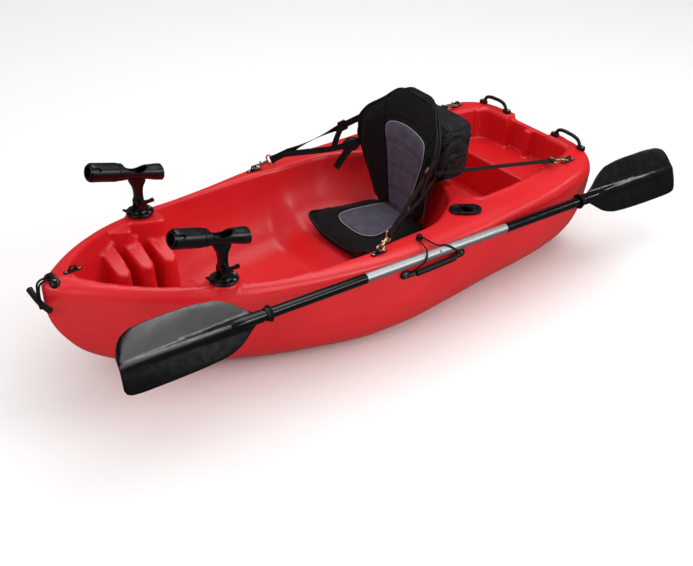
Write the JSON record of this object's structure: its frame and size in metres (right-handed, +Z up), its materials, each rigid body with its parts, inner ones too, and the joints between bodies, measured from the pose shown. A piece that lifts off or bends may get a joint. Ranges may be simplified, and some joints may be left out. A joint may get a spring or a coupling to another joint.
{
  "type": "fishing kayak",
  "caption": "Short sit-in fishing kayak with a red rotomoulded hull, open rear tank well, two swivel rod holders, a strapped seat and a two-piece paddle.",
  "frame": {"origin": "flat of the keel on the centre plane, below the front pad eyes", "axes": "+X to the bow along the keel, +Y to port, +Z up; the keel rests on z = 0"},
  "size_m": [2.1976, 0.9032, 0.6114],
  "materials": {
    "hull_red": "rotomoulded polyethylene, semi-gloss",
    "black_plastic": "moulded nylon and ABS, satin",
    "black_nylon": "glass-filled nylon, satin",
    "black_rubber": "soft moulded rubber",
    "aluminium": "drawn tube, clear anodised",
    "seat_fabric": "padded polyester, ribbed",
    "bag_fabric": "coated nylon, slightly shiny",
    "webbing": "woven polypropylene webbing",
    "brass": "cast and turned, bright"
  },
  "bodies": {
    "hull_body": {"hull": "hull_red", "bow_pad_eye": "black_nylon", "front_pad_eye_left": "black_nylon", "front_pad_eye_right": "black_nylon", "rear_pad_eye_left": "black_nylon", "rear_pad_eye_right": "black_nylon", "bow_handle_saddle": "black_nylon", "stern_handle_left": "black_rubber", "stern_handle_right": "black_rubber", "side_handle_front_mount_left": "black_nylon", "side_handle_front_mount_right": "black_nylon", "side_handle_rear_mount_left": "black_nylon", "side_handle_rear_mount_right": "black_nylon", "flush_rod_holder_left": "black_plastic", "flush_rod_holder_right": "black_plastic", "rod_base_left": "black_plastic", "rod_base_right": "black_plastic", "keeper_knob": "black_nylon", "keeper_bungee": "black_rubber", "seat_base": "seat_fabric", "front_snap_hook_left": "brass", "front_snap_hook_right": "brass", "rear_snap_hook_left": "brass", "rear_snap_hook_right": "brass"},
    "drain_plug_body": {"drain_plug": "black_plastic"},
    "bow_toggle_body": {"bow_toggle": "black_rubber", "bow_toggle_cord": "seat_fabric"},
    "seat_back_body": {"seat_back": "seat_fabric", "storage_bag": "bag_fabric", "strap_buckle_left": "black_plastic", "strap_buckle_right": "black_plastic", "front_strap_left": "webbing", "front_strap_right": "webbing", "rear_strap_left": "webbing", "rear_strap_right": "webbing"},
    "paddle_body": {"shaft_stern_half": "aluminium", "shaft_bow_half": "aluminium", "blade_bow": "black_plastic", "blade_stern": "black_plastic", "shaft_sleeve_bow": "black_plastic", "shaft_sleeve_stern": "black_plastic"},
    "snap_button_body": {"snap_button": "aluminium"},
    "drip_ring_bow_body": {"drip_ring_bow": "black_rubber"},
    "drip_ring_stern_body": {"drip_ring_stern": "black_rubber"},
    "rod_tab_body_left": {"rod_base_tab_left": "black_plastic"},
    "rod_swivel_body_left": {"rod_turntable_left": "black_plastic"},
    "tilt_lever_body_left": {"tilt_lever_left": "black_plastic"},
    "rod_cradle_body_left": {"rod_post_left": "black_plastic", "rod_cradle_left": "black_plastic"},
    "cradle_collar_body_left": {"cradle_collar_left": "black_plastic"},
    "side_grip_body_left": {"side_grip_left": "black_rubber"},
    "rod_tab_body_right": {"rod_base_tab_right": "black_plastic"},
    "rod_swivel_body_right": {"rod_turntable_right": "black_plastic"},
    "tilt_lever_body_right": {"tilt_lever_right": "black_plastic"},
    "rod_cradle_body_right": {"rod_post_right": "black_plastic", "rod_cradle_right": "black_plastic"},
    "cradle_collar_body_right": {"cradle_collar_right": "black_plastic"},
    "side_grip_body_right": {"side_grip_right": "black_rubber"}
  },
  "joints": [
    {"name": "rod_holder_swivel_left", "type": "hinge", "parent": "hull_body", "child": "rod_swivel_body_left", "pos_m": [0.48, 0.246, 0.38439], "axis": [0, 0, 1], "range_deg": [-180, 20]},
    {"name": "rod_holder_tilt_left", "type": "hinge", "parent": "rod_swivel_body_left", "child": "rod_cradle_body_left", "pos_m": [0.48, 0.246, 0.40839], "axis": [0, 1, 0], "range_deg": [-25, 35]},
    {"name": "tilt_lever_turn_left", "type": "hinge", "parent": "rod_swivel_body_left", "child": "tilt_lever_body_left", "pos_m": [0.48, 0.246, 0.40839], "axis": [0, 1, 0], "range_deg": [-8, 45]},
    {"name": "cradle_collar_turn_left", "type": "hinge", "parent": "rod_cradle_body_left", "child": "cradle_collar_body_left", "pos_m": [0.393, 0.246, 0.48439], "axis": [0.9622, 0, 0.2723], "range_deg": [0, 60]},
    {"name": "rod_base_tab_press_left", "type": "hinge", "parent": "hull_body", "child": "rod_tab_body_left", "pos_m": [0.513, 0.246, 0.38309], "axis": [0, 1, 0], "range_deg": [0, 12], "stiffness_Nm_per_rad": 0.05},
    {"name": "side_grip_spin_left", "type": "hinge", "parent": "hull_body", "child": "side_grip_body_left", "pos_m": [-0.171, 0.4073, 0.258], "axis": [1, 0, 0], "continuous": true},
    {"name": "rod_holder_swivel_right", "type": "hinge", "parent": "hull_body", "child": "rod_swivel_body_right", "pos_m": [0.48, -0.246, 0.38439], "axis": [0, 0, 1], "range_deg": [-20, 180]},
    {"name": "rod_holder_tilt_right", "type": "hinge", "parent": "rod_swivel_body_right", "child": "rod_cradle_body_right", "pos_m": [0.48, -0.246, 0.40839], "axis": [0, 1, 0], "range_deg": [-25, 35]},
    {"name": "tilt_lever_turn_right", "type": "hinge", "parent": "rod_swivel_body_right", "child": "tilt_lever_body_right", "pos_m": [0.48, -0.246, 0.40839], "axis": [0, 1, 0], "range_deg": [-8, 45]},
    {"name": "cradle_collar_turn_right", "type": "hinge", "parent": "rod_cradle_body_right", "child": "cradle_collar_body_right", "pos_m": [0.393, -0.246, 0.48439], "axis": [0.9622, 0, 0.2723], "range_deg": [0, 60]},
    {"name": "rod_base_tab_press_right", "type": "hinge", "parent": "hull_body", "child": "rod_tab_body_right", "pos_m": [0.513, -0.246, 0.38309], "axis": [0, 1, 0], "range_deg": [0, 12], "stiffness_Nm_per_rad": 0.05},
    {"name": "side_grip_spin_right", "type": "hinge", "parent": "hull_body", "child": "side_grip_body_right", "pos_m": [-0.171, -0.4073, 0.258], "axis": [1, 0, 0], "continuous": true},
    {"name": "seat_recline", "type": "hinge", "parent": "hull_body", "child": "seat_back_body", "pos_m": [-0.365, 0, 0.2265], "axis": [0, 1, 0], "range_deg": [-2, 10], "deforming": ["front_strap_left", "front_strap_right", "rear_strap_left", "rear_strap_right"]},
    {"name": "paddle_lift", "type": "slide", "parent": "hull_body", "child": "paddle_body", "axis": [0, 0, 1], "range_m": [0, 0.08], "deforming": ["keeper_bungee"]},
    {"name": "snap_button_press", "type": "slide", "parent": "paddle_body", "child": "snap_button_body", "axis": [0.0501, -0.7869, -0.6151], "range_m": [0, 0.003], "stiffness_N_per_m": 400},
    {"name": "drip_ring_bow_slide", "type": "slide", "parent": "paddle_body", "child": "drip_ring_bow_body", "axis": [0.9984, 0.0235, 0.0511], "range_m": [-0.08, 0.008]},
    {"name": "drip_ring_stern_slide", "type": "slide", "parent": "paddle_body", "child": "drip_ring_stern_body", "axis": [0.9984, 0.0235, 0.0511], "range_m": [-0.008, 0.08]},
    {"name": "bow_toggle_swing", "type": "hinge", "parent": "hull_body", "child": "bow_toggle_body", "pos_m": [0.9155, 0, 0.401], "axis": [0, 1, 0], "range_deg": [-100, 0], "deforming": ["bow_toggle_cord"]},
    {"name": "drain_plug_turn", "type": "hinge", "parent": "hull_body", "child": "drain_plug_body", "pos_m": [-0.975, 0, 0.096], "axis": [1, 0, 0], "range_deg": [0, 360]}
  ]
}
